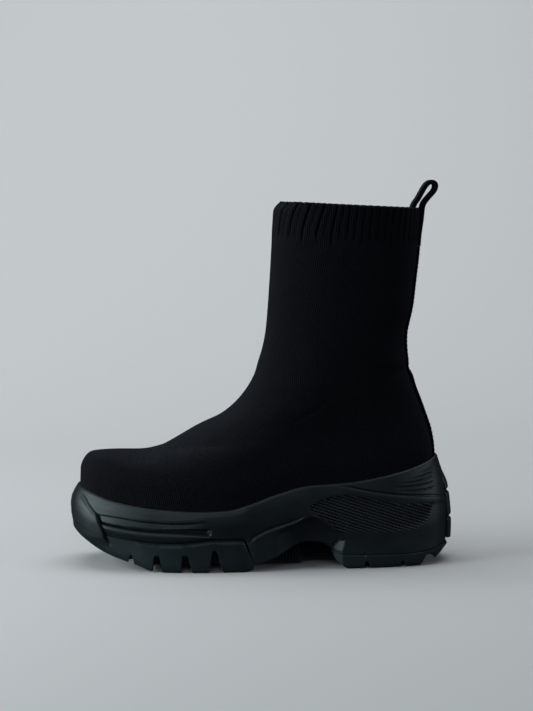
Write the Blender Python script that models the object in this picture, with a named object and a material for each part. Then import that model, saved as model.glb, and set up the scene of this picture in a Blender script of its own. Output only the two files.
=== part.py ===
"""Left platform ankle boot: a knitted sock upper seated in a deep moulded sole.

Frame: toe towards -X, heel towards +X, outer side of the foot towards -Y, +Z up,
origin on the floor under the middle of the boot. Sizes are millimetres until a mesh is made.
"""

from collections import namedtuple
import math

import bmesh
import bpy
import numpy as np

MM = 0.001

# Driving sizes.
CLEARANCE = 0.3
KNIT_WALL = 2.5
INSOLE_THICKNESS = 4.0
INSOLE_EDGE_ROUND = 0.8
STATION_STEP = 8.0
STATIONS_BESIDE_MIDDLE = 13
MIDDLE_X = -6.8
END_STATIONS = 5
TAPE_WIDTH = 13.0
TAPE_THICKNESS = 1.6
TAPE_TOP_SECTION = 10.0
BACK_REACH = 0.12
CURVE_SAMPLES = 60
LOOP_WIDTH = 12.5
LOOP_THICKNESS = 3.2
LOOP_OUTER_LEG_Z = (236.2, 246.0, 256.0)
TAIL_PROUD = 4.3
TAIL_HALF_WIDTH = 24.0
TAIL_TOP = 70.0
SHANK_HALF_WIDTH = 22.0
OUTSOLE_OVERLAP = 2.0
ORIGIN = np.array([0.45, 0.42, 0.0])

# Heights along the boot: each line is a few (x, z) stations of its side view.
Station = namedtuple("Station", "x z")
RIM_LINE = (
    Station(-140.0, 60.0),
    Station(-128.0, 55.7),
    Station(-110.0, 50.7),
    Station(-71.5, 45.8),
    Station(-48.5, 44.9),
    Station(-27.5, 45.6),
    Station(-11.5, 49.6),
    Station(9.5, 56.8),
    Station(32.5, 62.2),
    Station(60.5, 63.7),
    Station(102.0, 70.3),
    Station(121.5, 75.7),
    Station(134.0, 80.6),
)
FOOTBED_LINE = (
    Station(-134.0, 45.0),
    Station(-105.0, 38.5),
    Station(-70.0, 35.9),
    Station(-35.0, 36.7),
    Station(0.0, 42.4),
    Station(40.0, 50.5),
    Station(80.0, 54.0),
    Station(128.0, 55.0),
)
PARTING_LINE = (
    Station(-143.0, 37.7),
    Station(-131.0, 30.7),
    Station(-113.0, 25.3),
    Station(-94.0, 22.7),
    Station(-80.0, 21.6),
    Station(-67.0, 21.5),
    Station(-53.0, 22.5),
    Station(-40.0, 24.1),
    Station(-26.0, 23.9),
    Station(-15.5, 23.9),
    Station(-6.8, 5.2),
    Station(4.5, 8.7),
    Station(16.5, 14.0),
    Station(23.0, 17.6),
    Station(30.5, 20.3),
    Station(41.5, 19.4),
    Station(48.4, 16.7),
    Station(57.0, 10.9),
    Station(104.0, 9.9),
    Station(125.0, 11.7),
    Station(133.0, 14.7),
    Station(141.0, 20.2),
)
GROUND_LINE = (
    Station(-143.0, 31.7),
    Station(-140.0, 27.2),
    Station(-135.0, 22.7),
    Station(-130.0, 19.5),
    Station(-120.0, 13.9),
    Station(-113.0, 10.9),
    Station(-101.0, 6.9),
    Station(-94.0, 4.9),
    Station(-82.0, 0.6),
    Station(-76.0, 0.0),
    Station(-14.8, 0.0),
    Station(-6.8, 2.0),
    Station(49.2, 2.0),
    Station(57.2, 0.0),
    Station(114.0, 0.0),
    Station(122.0, 1.2),
    Station(130.0, 5.3),
    Station(136.0, 10.1),
    Station(141.0, 15.7),
)

# Closed sections of the upper, from the feather edge on the footbed to the collar. Each runs
# from its front point to its back point; sag is its share of the rim line's dip between them and
# seat its share of the footbed's own height. The half widths are at the ball and at the heel,
# arch is cut from the inner side at the waist, swing turns the toe inwards and fullness is the
# exponent of the section's round ends. rings is how many sections the mesh takes to the next row.
Section = namedtuple(
    "Section",
    "name front_x front_z back_x back_z sag seat ball heel arch swing fullness rings",
)
SECTIONS = (
    Section("feather", -132.5, 49.0, 126.2, 57.0, 1.0, 1.0, 46.5, 35.5, 6.0, 7.0, 2.6, 2),
    Section("rim", -135.5, 59.0, 129.0, 78.0, 1.0, 0.0, 49.0, 38.5, 5.0, 7.0, 2.6, 1),
    Section("toe wall", -135.2, 71.1, 128.6, 86.1, 0.9, 0.0, 49.3, 38.5, 3.5, 7.0, 2.55, 2),
    Section("toe corner", -127.4, 82.8, 126.8, 97.2, 0.74, 0.0, 46.8, 36.8, 2.0, 6.5, 2.45, 2),
    Section("toe top", -105.0, 84.6, 121.9, 112.4, 0.5, 0.0, 43.5, 34.6, 1.0, 5.0, 2.35, 3),
    Section("vamp", -80.0, 87.0, 119.0, 120.5, 0.25, 0.0, 40.5, 33.6, 0.0, 4.0, 2.25, 3),
    Section("mid instep", -45.0, 104.1, 114.6, 131.7, 0.08, 0.0, 37.5, 33.0, 0.0, 3.0, 2.2, 3),
    Section("instep", -15.0, 124.2, 109.4, 147.8, 0.0, 0.0, 36.0, 33.0, 0.0, 2.0, 2.2, 2),
    Section("ankle", 1.6, 158.6, 107.6, 169.1, 0.0, 0.0, 35.5, 34.0, 0.0, 1.0, 2.2, 2),
    Section("shaft", 6.2, 208.9, 113.8, 208.0, 0.0, 0.0, 37.0, 36.0, 0.0, 0.0, 2.2, 1),
    Section("rib foot", 8.0, 240.3, 116.8, 235.8, 0.0, 0.0, 38.5, 38.0, 0.0, 0.0, 2.2, 2),
    Section("collar", 9.8, 269.6, 118.2, 264.2, 0.0, 0.0, 39.5, 39.0, 0.0, 0.0, 2.2, 0),
)
RIM_SECTION = 1

# How far a section's half width has grown from its heel width to its ball width.
Growth = namedtuple("Growth", "along share")
WIDTH_GROWTH = (
    Growth(0.0, 0.0),
    Growth(0.3, 0.05),
    Growth(0.45, 0.36),
    Growth(0.62, 0.86),
    Growth(0.74, 1.0),
    Growth(0.88, 0.97),
    Growth(1.0, 0.92),
)
ARCH_ALONG = 0.46
ARCH_SPREAD = 0.17

# Side of the sole: how far it stands out from the upper's rim section at each height, which is
# a share of the way from the lower line to the upper line of the piece.
Flare = namedtuple("Flare", "name height toe side heel")
OUTSOLE_SIDE = (
    Flare("tread", 0.0, 3.0, 2.4, 7.6),
    Flare("tread corner", 0.3, 5.4, 3.4, 9.2),
    Flare("parting", 1.0, 6.9, 4.0, 9.9),
)
MIDSOLE_SIDE = (
    Flare("parting", 0.0, 6.9, 4.0, 9.9),
    Flare("bumper", 0.28, 7.2, 4.8, 10.3),
    Flare("belly", 0.5, 6.7, 5.2, 9.2),
    Flare("shoulder", 0.8, 4.0, 4.4, 6.0),
    Flare("edge", 0.95, 2.2, 3.2, 4.2),
    Flare("lip", 1.0, 1.8, 2.6, 3.6),
)
TOE_FLARE_FROM = 0.80
HEEL_FLARE_FROM = 0.36

# Grooves across the tread: a V from the floor, deep at both edges and shallow in the middle.
Groove = namedtuple("Groove", "low_x high_x edge_z middle_z inner_y")
GROOVES = (
    Groove(-100.2, -95.0, 11.8, 9.2, 33.0),
    Groove(-82.2, -74.4, 11.6, 4.0, 32.0),
    Groove(-61.5, -52.6, 12.6, 3.5, 32.0),
    Groove(-41.4, -30.0, 15.8, 3.5, 31.0),
    Groove(73.0, 79.8, 5.2, 3.0, 26.0),
    Groove(99.8, 106.6, 5.2, 3.0, 26.0),
)
GROOVE_RAMP = 6.0
OUTSIDE_Y = 90.0
BELOW_FLOOR = -6.0

# Notches across the heel's tail: height, and how deep the tip reaches from the back.
TailNotch = namedtuple("TailNotch", "z tip_x half_height")
TAIL_NOTCHES = (
    TailNotch(53.0, 137.0, 2.2),
    TailNotch(33.5, 139.4, 2.2),
    TailNotch(15.5, 136.4, 2.0),
)
BEHIND_X = 160.0

# Middle line of the pull loop in side view, from the back of the collar round its bow and down
# the collar's inner face.
LOOP_LINE = (
    Station(120.1, 263.5),
    Station(121.0, 267.2),
    Station(123.4, 270.8),
    Station(126.8, 274.6),
    Station(129.4, 278.0),
    Station(130.2, 280.9),
    Station(129.2, 283.1),
    Station(126.9, 283.8),
    Station(124.2, 282.6),
    Station(122.0, 280.0),
    Station(119.6, 275.8),
    Station(117.0, 271.2),
    Station(114.5, 267.6),
    Station(113.2, 264.2),
    Station(112.8, 257.5),
    Station(112.1, 248.5),
)

# Sides of the waist, seen from the side: what is cut away beside the shank.
WAIST_OPENING = (
    Station(-7.8, BELOW_FLOOR),
    Station(-12.8, 30.0),
    Station(48.6, 30.0),
    Station(49.4, 15.0),
    Station(54.1, 3.3),
    Station(55.6, BELOW_FLOOR),
)


def smooth(xs, ys):
    """Return a curve through the points that never overshoots them and is level past its ends."""
    xs = np.array(xs, float)
    ys = np.array(ys, float)
    step = np.diff(xs)
    slope = np.diff(ys) / step
    tangent = np.zeros(len(xs))
    tangent[0] = slope[0]
    tangent[-1] = slope[-1]
    for i in range(1, len(xs) - 1):
        if slope[i - 1] * slope[i] > 0:
            before = 2.0 * step[i] + step[i - 1]
            after = step[i] + 2.0 * step[i - 1]
            tangent[i] = (before + after) / (before / slope[i - 1] + after / slope[i])

    def at(x):
        x = np.clip(x, xs[0], xs[-1])
        i = np.clip(np.searchsorted(xs, x) - 1, 0, len(step) - 1)
        t = (x - xs[i]) / step[i]
        start = ys[i] * (1 + 2 * t) * (1 - t) ** 2 + tangent[i] * step[i] * t * (1 - t) ** 2
        end = ys[i + 1] * t**2 * (3 - 2 * t) - tangent[i + 1] * step[i] * t**2 * (1 - t)
        return start + end

    return at


def line(stations):
    """Return the height along X of a row of stations."""
    return smooth([p.x for p in stations], [p.z for p in stations])


def ease(low, high, value):
    """Rise smoothly from 0 at low to 1 at high."""
    t = np.clip((value - low) / (high - low), 0.0, 1.0)
    return t * t * (3.0 - 2.0 * t)


rim_z = line(RIM_LINE)
footbed_z = line(FOOTBED_LINE)
parting_z = line(PARTING_LINE)
ground_z = line(GROUND_LINE)
growth = smooth([g.along for g in WIDTH_GROWTH], [g.share for g in WIDTH_GROWTH])
section_number = range(len(SECTIONS))
section_column = {
    column: smooth(section_number, [getattr(row, column) for row in SECTIONS])
    for column in Section._fields[1:-1]
}


def ring_stations():
    """Return, for one turn round the boot, how far along it each point lies and its side.

    Along is 1 at the toe and 0 at the heel. The turn starts at the toe, runs down the outer
    side (-1) to the heel and back along the inner side (+1).
    """
    rim = SECTIONS[RIM_SECTION]
    reach = STATION_STEP * STATIONS_BESIDE_MIDDLE
    xs = np.linspace(MIDDLE_X - reach, MIDDLE_X + reach, 2 * STATIONS_BESIDE_MIDDLE + 1)
    middle = (rim.back_x - xs) / (rim.back_x - rim.front_x)
    power = 2.0 / rim.fullness
    toe_turn = math.acos((2.0 * middle[0] - 1.0) ** (1.0 / power))
    heel_turn = math.acos((1.0 - 2.0 * middle[-1]) ** (1.0 / power))
    toe_angles = np.linspace(0.0, toe_turn, END_STATIONS + 2)[1:-1]
    heel_angles = np.linspace(heel_turn, 0.0, END_STATIONS + 2)[1:-1]
    toe_end = 0.5 + 0.5 * np.cos(toe_angles) ** power
    heel_end = 0.5 - 0.5 * np.cos(heel_angles) ** power
    outer = np.concatenate([toe_end, middle, heel_end])
    along = np.concatenate([[1.0], outer, [0.0], outer[::-1]])
    side = np.concatenate([[0.0], -np.ones(len(outer)), [0.0], np.ones(len(outer))])
    return along, side


ALONG, SIDE = ring_stations()
RING_POINTS = len(ALONG)


def upper_section(position, along=ALONG, side=SIDE):
    """Return the points of one closed section of the upper's outer face."""
    value = {column: curve(position) for column, curve in section_column.items()}
    x = value["back_x"] + (value["front_x"] - value["back_x"]) * along
    straight = value["back_z"] + (value["front_z"] - value["back_z"]) * along
    rim = SECTIONS[RIM_SECTION]
    rim_x = rim.back_x + (rim.front_x - rim.back_x) * along
    rim_straight = rim.back_z + (rim.front_z - rim.back_z) * along
    free = straight + value["sag"] * (rim_z(rim_x) - rim_straight)
    z = value["seat"] * (footbed_z(x) + CLEARANCE) + (1.0 - value["seat"]) * free
    fullness = value["fullness"]
    round_end = (1.0 - np.abs(2.0 * along - 1.0) ** fullness) ** (1.0 / fullness)
    half = value["heel"] + (value["ball"] - value["heel"]) * growth(along)
    waist = np.exp(-(((along - ARCH_ALONG) / ARCH_SPREAD) ** 2))
    half = half - np.where(side > 0, value["arch"] * waist, 0.0)
    centre = value["swing"] * 4.0 * np.clip(along - 0.5, 0.0, None) ** 2
    return np.stack([x, centre + side * half * round_end, z], axis=1)


def plan_normals(ring):
    """Return unit vectors that point out of a ring, level with the floor."""
    tangent = np.roll(ring, -1, axis=0) - np.roll(ring, 1, axis=0)
    normal = np.stack([tangent[:, 1], -tangent[:, 0], np.zeros(len(ring))], axis=1)
    return normal / np.linalg.norm(normal, axis=1, keepdims=True)


def grown(ring, distance):
    """Return a ring moved out by a distance level with the floor."""
    return ring + plan_normals(ring) * np.reshape(distance, (-1, 1))


def section_positions():
    """Return the places along the table of sections where the upper has a ring."""
    positions = []
    for number, row in enumerate(SECTIONS[:-1]):
        positions.extend(number + k / row.rings for k in range(row.rings))
    return positions + [len(SECTIONS) - 1]


def sole_side(rows, low_z, high_z, extra=0.0):
    """Return the rings of a side of the sole, from its lower line to its upper line."""
    rim = upper_section(RIM_SECTION)
    toe_share = ease(TOE_FLARE_FROM, 1.0, ALONG)
    heel_share = ease(HEEL_FLARE_FROM, 0.0, ALONG)
    side_share = 1.0 - toe_share - heel_share
    rings = []
    for row in rows:
        flare = row.toe * toe_share + row.side * side_share + row.heel * heel_share + extra
        ring = grown(rim, flare)
        low = low_z(ring[:, 0])
        ring[:, 2] = low + (high_z(ring[:, 0]) - low) * row.height
        rings.append(ring)
    return rings


def material(name, colour, roughness):
    """Return a plain Principled material."""
    made = bpy.data.materials.new(name)
    made.use_nodes = True
    shader = made.node_tree.nodes["Principled BSDF"]
    shader.inputs["Base Color"].default_value = (*colour, 1.0)
    shader.inputs["Roughness"].default_value = roughness
    shader.inputs["Metallic"].default_value = 0.0
    return made


def add_object(name, bm, finish=None):
    """Close a bmesh into a named object; without a finish it is a cutter."""
    bmesh.ops.recalc_face_normals(bm, faces=bm.faces)
    mesh = bpy.data.meshes.new(name)
    bm.to_mesh(mesh)
    bm.free()
    made = bpy.data.objects.new(name, mesh)
    bpy.context.scene.collection.objects.link(made)
    if finish is None:
        made.hide_render = True
        made.display_type = "WIRE"
    else:
        mesh.materials.append(finish)
        mesh.shade_smooth()
        mesh.set_sharp_from_angle(angle=math.radians(40.0))
    return made


def add_rings(bm, rings, closed):
    """Bridge rings of points in order, and the last to the first where they are closed."""
    loops = [[bm.verts.new((point - ORIGIN) * MM) for point in ring] for ring in rings]
    pairs = list(zip(loops[:-1], loops[1:]))
    if closed:
        pairs.append((loops[-1], loops[0]))
    for low, high in pairs:
        for j in range(len(low)):
            k = (j + 1) % len(low)
            bm.faces.new((low[j], low[k], high[k], high[j]))
    return loops


def add_rungs(bm, loop):
    """Cap a ring that runs round the boot with faces that are level across it."""
    count = len(loop)
    for j in range(count // 2):
        corners = [loop[j], loop[j + 1], loop[count - j - 1], loop[-j]]
        bm.faces.new(list(dict.fromkeys(corners)))


def ring_solid(name, rings, finish=None):
    """Make a solid from stacked rings, capped at its first and last ring."""
    bm = bmesh.new()
    loops = add_rings(bm, rings, closed=False)
    add_rungs(bm, loops[0])
    add_rungs(bm, loops[-1])
    return add_object(name, bm, finish)


def add_prism(bm, sections):
    """Add a solid through sections of the same number of corners."""
    loops = add_rings(bm, sections, closed=False)
    bm.faces.new(loops[0])
    bm.faces.new(loops[-1])


def combine(target, cutter, operation):
    """Join a cutter to an object by a live Boolean."""
    modifier = target.modifiers.new(f"{operation.lower()} {cutter.name}", "BOOLEAN")
    modifier.operation = operation
    modifier.object = cutter
    modifier.solver = "EXACT"


def make_upper():
    """Knit the sock: an outer face through the sections and an inner face one wall inside it."""
    outer = np.array([upper_section(position) for position in section_positions()])
    across = np.roll(outer, -1, axis=1) - np.roll(outer, 1, axis=1)
    upward = np.gradient(outer, axis=0)
    normal = np.cross(across, upward)
    normal /= np.linalg.norm(normal, axis=2, keepdims=True)
    inner = outer - KNIT_WALL * normal
    inner[0][:, 2] = footbed_z(inner[0][:, 0]) + CLEARANCE
    inner[-1][:, 2] = outer[-1][:, 2]
    bm = bmesh.new()
    add_rings(bm, list(outer) + list(inner[::-1]), closed=True)
    add_object("upper", bm, material("black knit", (0.012, 0.012, 0.014), 0.9))


def cup_rings():
    """Return the inside of the midsole's cup, from its lip down to the footbed."""
    positions = [p for p in section_positions() if p <= RIM_SECTION]
    rings = [grown(upper_section(p), CLEARANCE) for p in reversed(positions)]
    rings[0][:, 2] = rim_z(rings[0][:, 0])
    rings[-1][:, 2] = footbed_z(rings[-1][:, 0])
    return rings


def make_midsole():
    """Mould the platform: its side from the parting line to the lip, then the cup."""
    rings = sole_side(MIDSOLE_SIDE, parting_z, rim_z) + cup_rings()
    ring_solid("midsole", rings, material("black foam", (0.02, 0.022, 0.024), 0.5))


def make_insole():
    """Cut the insole to the inside of the upper's feather edge."""
    feather = upper_section(0)
    edge = grown(feather, -(KNIT_WALL + 2.0 * CLEARANCE))
    bottom = edge.copy()
    bottom[:, 2] = footbed_z(bottom[:, 0]) + CLEARANCE
    side = edge.copy()
    side[:, 2] = footbed_z(side[:, 0]) + CLEARANCE + INSOLE_THICKNESS - INSOLE_EDGE_ROUND
    top = grown(edge, -INSOLE_EDGE_ROUND)
    top[:, 2] = footbed_z(top[:, 0]) + CLEARANCE + INSOLE_THICKNESS
    ring_solid("insole", [bottom, side, top], material("black lining", (0.02, 0.02, 0.02), 0.95))


def add_tread_cuts(bm):
    """Add the grooves of the tread, the notches of the tail and the openings beside the shank."""
    for groove in GROOVES:
        tip_x = (groove.low_x + groove.high_x) / 2.0
        ramp_y = groove.inner_y - GROOVE_RAMP
        depths = ((OUTSIDE_Y, groove.edge_z), (groove.inner_y, groove.edge_z), (ramp_y, groove.middle_z))
        walk = [(-y, z) for y, z in depths] + [(y, z) for y, z in reversed(depths)]
        sections = []
        for y, tip_z in walk:
            corners = ((groove.low_x, BELOW_FLOOR), (groove.high_x, BELOW_FLOOR), (tip_x, tip_z))
            sections.append(np.array([(x, y, z) for x, z in corners]))
        add_prism(bm, sections)
    for notch in TAIL_NOTCHES:
        mouth = notch.half_height * (BEHIND_X - notch.tip_x) / TAIL_PROUD
        corners = ((notch.tip_x, notch.z), (BEHIND_X, notch.z - mouth), (BEHIND_X, notch.z + mouth))
        add_prism(bm, [np.array([(x, y, z) for x, z in corners]) for y in (-OUTSIDE_Y, OUTSIDE_Y)])
    for side in (-1.0, 1.0):
        reach = (side * SHANK_HALF_WIDTH, side * OUTSIDE_Y)
        add_prism(bm, [np.array([(p.x, y, p.z) for p in WAIST_OPENING]) for y in reach])


def make_outsole():
    """Mould the rubber: a slab under the whole foot and a tail up the heel, cut to the midsole."""

    def overlap_z(x):
        return parting_z(x) + OUTSOLE_OVERLAP

    rubber = material("black rubber", (0.015, 0.016, 0.017), 0.6)
    outsole = ring_solid("outsole", sole_side(OUTSOLE_SIDE, ground_z, overlap_z), rubber)

    block_side = sole_side(OUTSOLE_SIDE[:-1], ground_z, parting_z, TAIL_PROUD)
    block_side += sole_side(MIDSOLE_SIDE, parting_z, rim_z, TAIL_PROUD)
    tail = ring_solid("tail form", block_side)
    bm = bmesh.new()
    tail_front = SECTIONS[RIM_SECTION].back_x - TAIL_HALF_WIDTH
    corners = (
        (tail_front, BELOW_FLOOR),
        (BEHIND_X, BELOW_FLOOR),
        (BEHIND_X, TAIL_TOP),
        (tail_front, TAIL_TOP),
    )
    walls = (-TAIL_HALF_WIDTH, TAIL_HALF_WIDTH)
    add_prism(bm, [np.array([(x, y, z) for x, z in corners]) for y in walls])
    combine(tail, add_object("tail width", bm), "INTERSECT")
    combine(outsole, tail, "UNION")

    def below_parting_z(x):
        return parting_z(x) - CLEARANCE

    def above_rim_z(x):
        return rim_z(x) + OUTSOLE_OVERLAP

    foam_side = sole_side(MIDSOLE_SIDE, below_parting_z, above_rim_z, CLEARANCE)
    combine(outsole, ring_solid("foam form", foam_side), "DIFFERENCE")
    bm = bmesh.new()
    add_tread_cuts(bm)
    combine(outsole, add_object("tread cuts", bm), "DIFFERENCE")


def back_strip(positions, half_width, columns=5):
    """Return a grid of points on the upper's back, up the seam and across it, and its normals."""
    along = np.linspace(0.0, BACK_REACH, CURVE_SAMPLES)
    across = np.linspace(-half_width, half_width, columns)
    rows = []
    for position in positions:
        outer = upper_section(position, along, -np.ones(len(along)))
        x = np.interp(np.abs(across), -outer[:, 1], outer[:, 0])
        z = np.interp(np.abs(across), -outer[:, 1], outer[:, 2])
        rows.append(np.stack([x, across, z], axis=1))
    grid = np.array(rows)
    normal = np.cross(np.gradient(grid, axis=1), np.gradient(grid, axis=0))
    return grid, normal / np.linalg.norm(normal, axis=2, keepdims=True)


def make_back_tape():
    """Lay the webbing over the back seam, from just above the sole's lip to the pull loop."""
    rim = SECTIONS[RIM_SECTION]
    lip_z = rim_z(rim.back_x + TAPE_THICKNESS) + CLEARANCE
    start = np.interp(lip_z, [rim.back_z, SECTIONS[RIM_SECTION + 1].back_z], [1.0, 2.0])
    inside = [p for p in section_positions() if start < p < TAPE_TOP_SECTION]
    grid, normal = back_strip([start, *inside, TAPE_TOP_SECTION], TAPE_WIDTH / 2.0)
    under = grid + CLEARANCE * normal
    over = grid + (CLEARANCE + TAPE_THICKNESS) * normal
    sections = [np.concatenate([low, high[::-1]]) for low, high in zip(under, over)]
    bm = bmesh.new()
    add_prism(bm, sections)
    add_object("back_tape", bm, material("black webbing", (0.02, 0.02, 0.021), 0.85))


def loop_path():
    """Return the middle line of the pull loop in side view: outer leg, bow, inner leg."""
    back = section_column["back_x"]
    height = section_column["back_z"]
    last = len(SECTIONS) - 1
    places = np.linspace(last - 1, last, CURVE_SAMPLES)
    outside = CLEARANCE + LOOP_THICKNESS / 2.0
    outer_leg = [(np.interp(z, height(places), back(places)) + outside, z) for z in LOOP_OUTER_LEG_Z]
    return np.array(outer_leg + list(LOOP_LINE))


def make_pull_loop():
    """Fold the webbing into a loop that straddles the collar at the back seam."""
    path = loop_path()
    tangent = np.gradient(path, axis=0)
    tangent /= np.linalg.norm(tangent, axis=1, keepdims=True)
    normal = np.stack([tangent[:, 1], -tangent[:, 0]], axis=1)
    half = LOOP_WIDTH / 2.0
    sections = []
    for point, out in zip(path, normal):
        over = point + out * LOOP_THICKNESS / 2.0
        under = point - out * LOOP_THICKNESS / 2.0
        corners = ((over, -half), (over, half), (under, half), (under, -half))
        sections.append(np.array([(p[0], y, p[1]) for p, y in corners]))
    bm = bmesh.new()
    add_prism(bm, sections)
    add_object("pull_loop", bm, material("black loop webbing", (0.02, 0.02, 0.021), 0.85))


for old in list(bpy.data.objects):
    bpy.data.objects.remove(old)
make_outsole()
make_midsole()
make_insole()
make_upper()
make_back_tape()
make_pull_loop()
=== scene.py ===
"""Looks of a left platform ankle boot: a knitted sock upper seated in a deep moulded sole.

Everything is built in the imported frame: toe towards -X, heel towards +X, outer side of the foot
towards -Y, +Z up. Sizes are millimetres until a mesh is made.
"""

import math

import bmesh
import bpy
import numpy as np
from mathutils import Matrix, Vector


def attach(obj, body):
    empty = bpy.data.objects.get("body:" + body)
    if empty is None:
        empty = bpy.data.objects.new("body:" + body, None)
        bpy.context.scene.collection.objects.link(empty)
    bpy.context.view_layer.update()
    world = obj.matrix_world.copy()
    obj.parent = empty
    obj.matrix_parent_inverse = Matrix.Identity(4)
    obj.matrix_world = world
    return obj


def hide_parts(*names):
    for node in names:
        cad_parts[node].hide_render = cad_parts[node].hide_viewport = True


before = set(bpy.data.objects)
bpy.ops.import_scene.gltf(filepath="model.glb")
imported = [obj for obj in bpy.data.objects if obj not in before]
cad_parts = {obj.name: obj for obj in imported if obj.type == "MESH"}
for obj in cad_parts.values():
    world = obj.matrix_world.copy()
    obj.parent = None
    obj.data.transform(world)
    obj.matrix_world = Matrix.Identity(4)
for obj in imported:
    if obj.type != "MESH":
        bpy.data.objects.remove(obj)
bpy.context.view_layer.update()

# Outsole: black rubber pressed in one mould. A lugged forefoot pad, a serrated shank under the
# waist and a heel pad with a tail that climbs the back of the heel; cemented under the midsole.
MM = 0.001
ORIGIN = np.array([0.45, 0.42, 0.0])
SEAT_GAP = 0.3


def curve(points):
    """Return the smooth line through (place, value) points, which never overshoots them."""
    xs, ys = np.array(points, float).T
    step = np.diff(xs)
    slope = np.diff(ys) / step
    tangent = np.zeros(len(xs))
    tangent[0] = slope[0]
    tangent[-1] = slope[-1]
    for i in range(1, len(xs) - 1):
        if slope[i - 1] * slope[i] > 0:
            before = 2.0 * step[i] + step[i - 1]
            after = step[i] + 2.0 * step[i - 1]
            tangent[i] = (before + after) / (before / slope[i - 1] + after / slope[i])

    def at(x):
        x = np.clip(x, xs[0], xs[-1])
        i = np.clip(np.searchsorted(xs, x) - 1, 0, len(step) - 1)
        t = (x - xs[i]) / step[i]
        start = ys[i] * (1 + 2 * t) * (1 - t) ** 2 + tangent[i] * step[i] * t * (1 - t) ** 2
        end = ys[i + 1] * t**2 * (3 - 2 * t) - tangent[i + 1] * step[i] * t**2 * (1 - t)
        return start + end

    return at


def ease(low, high, value):
    """Go smoothly from 0 at low to 1 at high; low may be the greater."""
    t = np.clip((value - low) / (high - low), 0.0, 1.0)
    return t * t * (3.0 - 2.0 * t)


rim_z = curve((
    (-140, 60), (-128, 55.7), (-110, 50.7), (-71.5, 45.8), (-48.5, 44.9), (-27.5, 45.6),
    (-11.5, 49.6), (9.5, 56.8), (32.5, 62.2), (60.5, 63.7), (102, 70.3), (121.5, 75.7), (134, 80.6),
))
parting_z = curve((
    (-143, 37.7), (-131, 30.7), (-113, 25.3), (-94, 22.7), (-80, 21.6), (-67, 21.5), (-53, 22.5),
    (-40, 24.1), (-26, 23.9), (-15.5, 23.9), (-6.8, 5.2), (4.5, 8.7), (16.5, 14), (23, 17.6),
    (30.5, 20.3), (41.5, 19.4), (48.4, 16.7), (57, 10.9), (104, 9.9), (125, 11.7), (133, 14.7),
    (141, 20.2),
))
ground_z = curve((
    (-143, 31.7), (-140, 27.2), (-135, 22.7), (-130, 19.5), (-120, 13.9), (-113, 10.9), (-101, 6.9),
    (-94, 4.9), (-82, 0.6), (-76, 0), (-14.8, 0), (-6.8, 2), (49.2, 2), (57.2, 0), (114, 0),
    (122, 1.2), (130, 5.3), (136, 10.1), (141, 15.7),
))
footbed_z = curve((
    (-134, 45), (-105, 38.5), (-70, 35.9), (-35, 36.7), (0, 42.4), (40, 50.5), (80, 54), (128, 55),
))

# Sections of the last from the feather edge to the collar, which shape the sole and the upper:
# front x and z, back x and z, share of the rim line's dip, share of the footbed's height, half
# width at the ball and at the heel, arch cut from the inner side, swing of the toe, fullness.
LAST_SECTIONS = np.array(
    (
        (-132.5, 49.0, 126.2, 57.0, 1.00, 1.0, 46.5, 35.5, 6.0, 7.0, 2.60),
        (-135.5, 59.0, 129.0, 78.0, 1.00, 0.0, 49.0, 38.5, 5.0, 7.0, 2.60),
        (-135.2, 71.1, 128.6, 86.1, 0.90, 0.0, 49.3, 38.5, 3.5, 7.0, 2.55),
        (-127.4, 82.8, 126.8, 97.2, 0.74, 0.0, 46.8, 36.8, 2.0, 6.5, 2.45),
        (-105.0, 84.6, 121.9, 112.4, 0.50, 0.0, 43.5, 34.6, 1.0, 5.0, 2.35),
        (-80.0, 87.0, 119.0, 120.5, 0.25, 0.0, 40.5, 33.6, 0.0, 4.0, 2.25),
        (-45.0, 104.1, 114.6, 131.7, 0.08, 0.0, 37.5, 33.0, 0.0, 3.0, 2.20),
        (-15.0, 124.2, 109.4, 147.8, 0.00, 0.0, 36.0, 33.0, 0.0, 2.0, 2.20),
        (1.6, 158.6, 107.6, 169.1, 0.00, 0.0, 35.5, 34.0, 0.0, 1.0, 2.20),
        (6.2, 208.9, 113.8, 208.0, 0.00, 0.0, 37.0, 36.0, 0.0, 0.0, 2.20),
        (8.0, 240.3, 116.8, 235.8, 0.00, 0.0, 38.5, 38.0, 0.0, 0.0, 2.20),
        (9.8, 269.6, 118.2, 264.2, 0.00, 0.0, 39.5, 39.0, 0.0, 0.0, 2.20),
    )
)
RIM = 1
COLLAR = len(LAST_SECTIONS) - 1
last_columns = [curve(list(enumerate(column))) for column in LAST_SECTIONS.T]
width_growth = curve((
    (0, 0), (0.3, 0.05), (0.45, 0.36), (0.62, 0.86), (0.74, 1), (0.88, 0.97), (1, 0.92),
))
ARCH_ALONG = 0.46
ARCH_SPREAD = 0.17
TOE_FLARE = (0.80, 1.0)
HEEL_FLARE = (0.36, 0.0)


def last_point(level, along, side):
    """Return points of the last: level counts sections, along is 1 at the toe and 0 at the heel."""
    level, along, side = np.broadcast_arrays(np.asarray(level, float), along, side)
    front_x, front_z, back_x, back_z, dip, seat, ball, heel, arch, swing, full = (
        column(level) for column in last_columns
    )
    x = back_x + (front_x - back_x) * along
    rim = LAST_SECTIONS[RIM]
    rim_x = rim[2] + (rim[0] - rim[2]) * along
    rim_straight = rim[3] + (rim[1] - rim[3]) * along
    free = back_z + (front_z - back_z) * along + dip * (rim_z(rim_x) - rim_straight)
    z = seat * (footbed_z(x) + SEAT_GAP) + (1.0 - seat) * free
    round_end = (1.0 - np.abs(2.0 * along - 1.0) ** full) ** (1.0 / full)
    half = heel + (ball - heel) * width_growth(along)
    waist = np.exp(-(((along - ARCH_ALONG) / ARCH_SPREAD) ** 2))
    half = half - np.where(side > 0, arch * waist, 0.0)
    centre = swing * 4.0 * np.clip(along - 0.5, 0.0, None) ** 2
    return np.stack([x, centre + side * half * round_end, z], axis=-1)


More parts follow.
